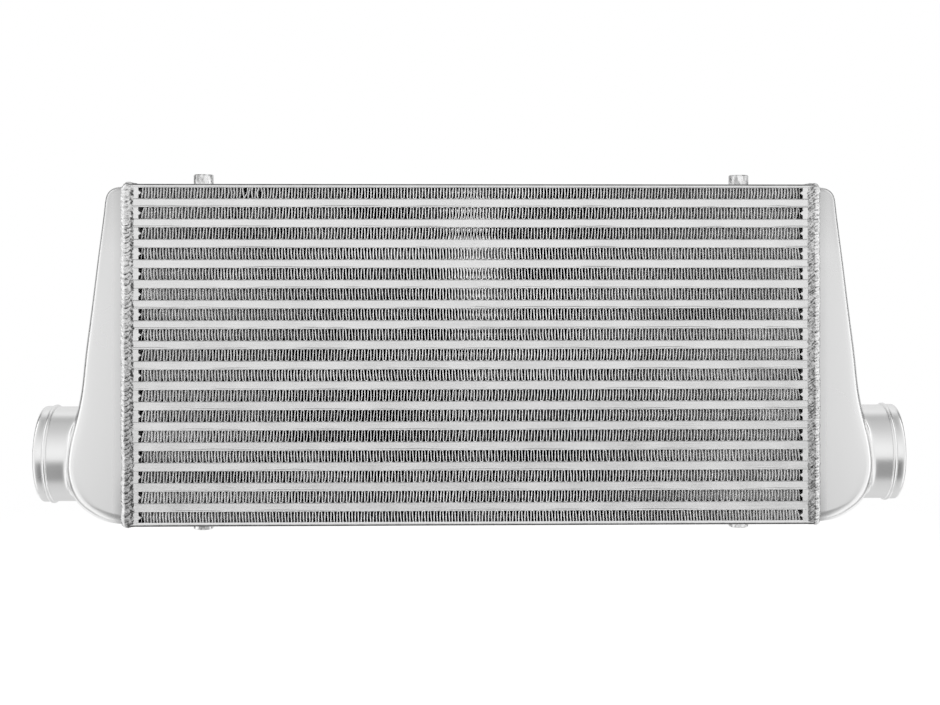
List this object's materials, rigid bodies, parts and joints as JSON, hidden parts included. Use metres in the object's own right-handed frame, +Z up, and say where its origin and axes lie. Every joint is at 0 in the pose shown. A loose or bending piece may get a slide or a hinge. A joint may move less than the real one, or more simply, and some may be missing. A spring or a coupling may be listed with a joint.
{
  "type": "intercooler",
  "caption": "Air-to-air charge cooler: a flat brazed bar-and-plate core between two tapered cast end tanks, each with a beaded round hose neck low on its side.",
  "frame": {"origin": "the middle of the core, which is also the middle of the whole part's box", "axes": "+X along the core towards the right end tank, +Y through the core from its front face to its rear face, +Z up with the necks low"},
  "size_m": [0.774, 0.1036, 0.3212],
  "materials": {
    "bar_stock": "satin mill finish",
    "fin_stock": "thin folded sheet, dull",
    "cast_tank": "satin casting with a polished turned neck",
    "weld_metal": "rippled weld bead",
    "turned_boss": "turned, bright"
  },
  "bodies": {
    "root": {"air_fin_01": "fin_stock", "air_fin_02": "fin_stock", "air_fin_03": "fin_stock", "air_fin_04": "fin_stock", "air_fin_05": "fin_stock", "air_fin_06": "fin_stock", "air_fin_07": "fin_stock", "air_fin_08": "fin_stock", "air_fin_09": "fin_stock", "air_fin_10": "fin_stock", "air_fin_11": "fin_stock", "air_fin_12": "fin_stock", "air_fin_13": "fin_stock", "air_fin_14": "fin_stock", "air_fin_15": "fin_stock", "air_fin_16": "fin_stock", "air_fin_17": "fin_stock", "bottom_mount_bosses": "turned_boss", "bottom_side_plate": "bar_stock", "charge_fin_01": "fin_stock", "charge_fin_02": "fin_stock", "charge_fin_03": "fin_stock", "charge_fin_04": "fin_stock", "charge_fin_05": "fin_stock", "charge_fin_06": "fin_stock", "charge_fin_07": "fin_stock", "charge_fin_08": "fin_stock", "charge_fin_09": "fin_stock", "charge_fin_10": "fin_stock", "charge_fin_11": "fin_stock", "charge_fin_12": "fin_stock", "charge_fin_13": "fin_stock", "charge_fin_14": "fin_stock", "charge_fin_15": "fin_stock", "charge_fin_16": "fin_stock", "charge_passage_01": "bar_stock", "charge_passage_02": "bar_stock", "charge_passage_03": "bar_stock", "charge_passage_04": "bar_stock", "charge_passage_05": "bar_stock", "charge_passage_06": "bar_stock", "charge_passage_07": "bar_stock", "charge_passage_08": "bar_stock", "charge_passage_09": "bar_stock", "charge_passage_10": "bar_stock", "charge_passage_11": "bar_stock", "charge_passage_12": "bar_stock", "charge_passage_13": "bar_stock", "charge_passage_14": "bar_stock", "charge_passage_15": "bar_stock", "charge_passage_16": "bar_stock", "left_end_bars": "bar_stock", "left_end_tank": "cast_tank", "left_tank_weld": "weld_metal", "right_end_bars": "bar_stock", "right_end_tank": "cast_tank", "right_tank_weld": "weld_metal", "top_mount_bosses": "turned_boss", "top_side_plate": "bar_stock"}
  },
  "joints": []
}
